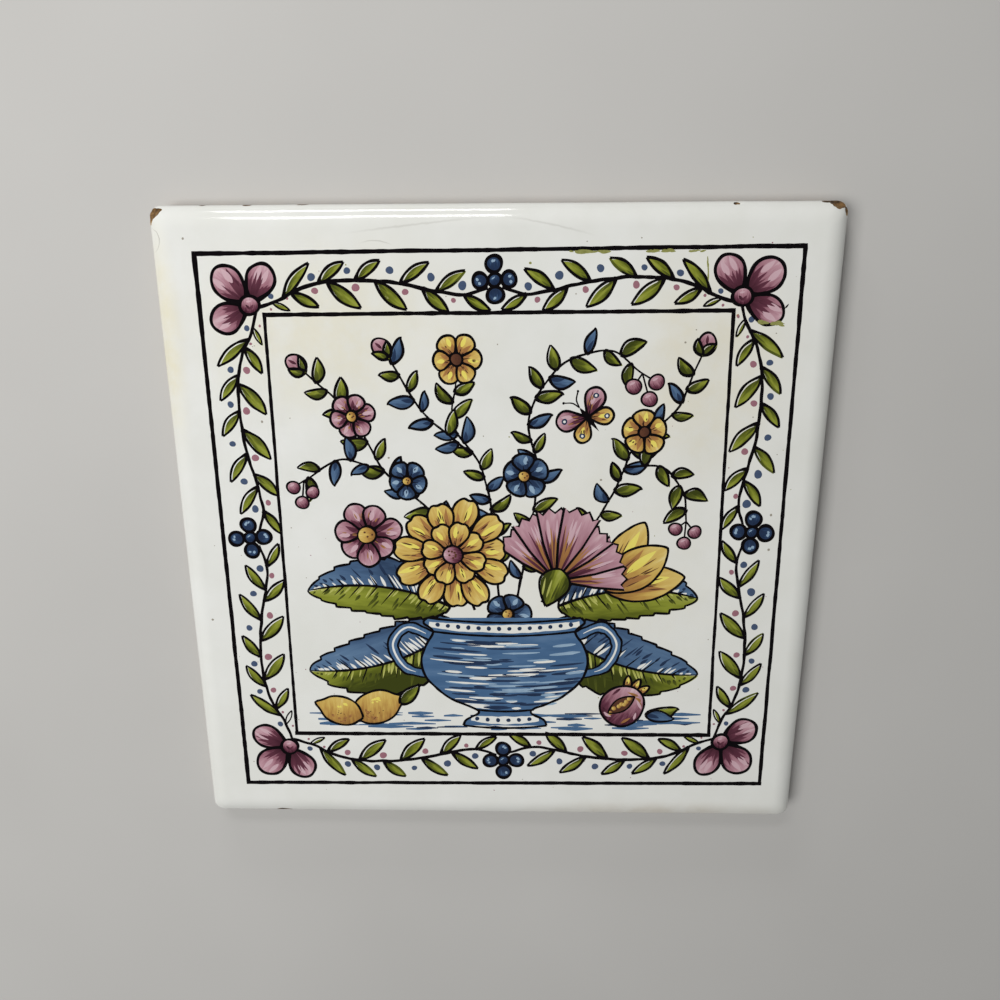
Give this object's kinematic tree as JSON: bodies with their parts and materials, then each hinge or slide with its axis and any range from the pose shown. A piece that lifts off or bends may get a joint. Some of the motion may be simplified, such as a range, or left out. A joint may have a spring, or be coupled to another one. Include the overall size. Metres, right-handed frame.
{
  "type": "azulejo tile",
  "caption": "Square glazed ceramic tile with cushioned face edges, a painted bowl of flowers inside a leafy vine border, and a ribbed back for bedding in mortar.",
  "frame": {"origin": "middle of the back, on the land of the middle keying rib", "axes": "+Z out of the glazed face, +Y towards the top of the painted picture, +X towards its right"},
  "size_m": [0.15, 0.15, 0.008],
  "materials": {
    "glazed_earthenware": "glossy white glaze with painted decoration over a buff earthenware body"
  },
  "bodies": {
    "root": {"tile": "glazed_earthenware"}
  },
  "joints": []
}
